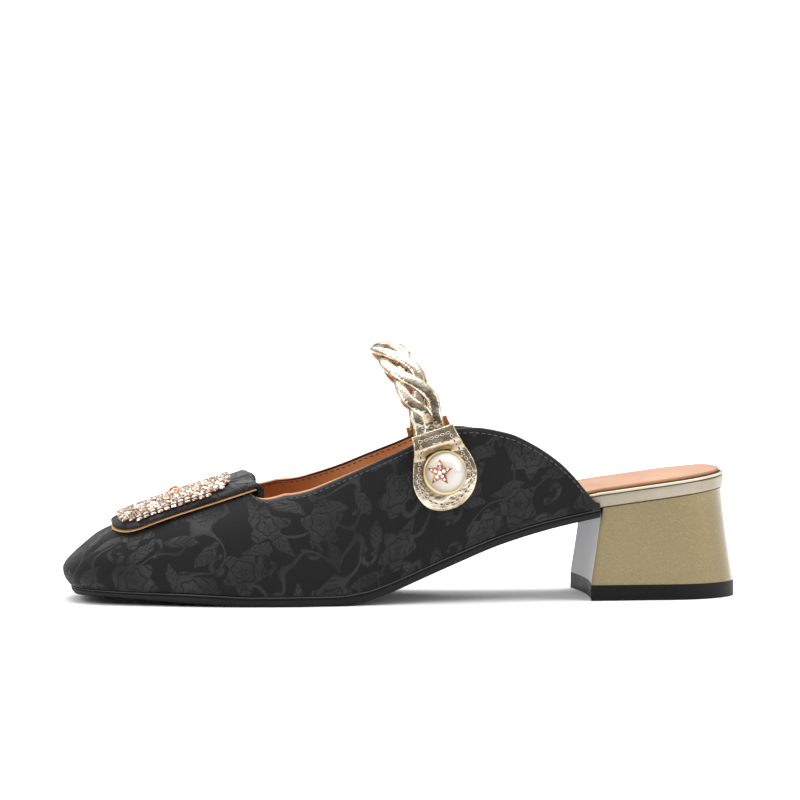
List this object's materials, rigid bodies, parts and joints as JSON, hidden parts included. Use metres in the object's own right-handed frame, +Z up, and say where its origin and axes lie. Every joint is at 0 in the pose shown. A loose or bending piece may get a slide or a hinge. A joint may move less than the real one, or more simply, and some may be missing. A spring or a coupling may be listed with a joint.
{
  "type": "backless block-heel mule",
  "caption": "Backless closed-toe mule with a square toe, a stone-set flap, a braided strap over the instep and a low block heel.",
  "frame": {"origin": "on the floor under the flat tread of the forepart, on the shoe's long line", "axes": "+X from the toe to the heel, -Y to the lateral side of this left shoe, +Z up"},
  "size_m": [0.2521, 0.0809, 0.0953],
  "materials": {
    "jacquard": "satin",
    "sock": "satin",
    "rim": "satin",
    "foil": "gloss",
    "heel": "gloss",
    "rubber": "matte",
    "stones": "polished",
    "pearl": "gloss",
    "rose_gold": "polished"
  },
  "bodies": {
    "root": {"outsole": "rubber", "insole_board": "rim", "insole_sock": "sock", "upper": "jacquard", "flap": "jacquard", "flap_plate": "stones", "flap_ring": "rose_gold", "braided_strap": "foil", "tab_lateral": "foil", "tab_medial": "foil", "pearl_seat": "rose_gold", "pearl": "pearl", "star": "rose_gold", "heel_block": "heel", "top_lift": "rubber"}
  },
  "joints": []
}
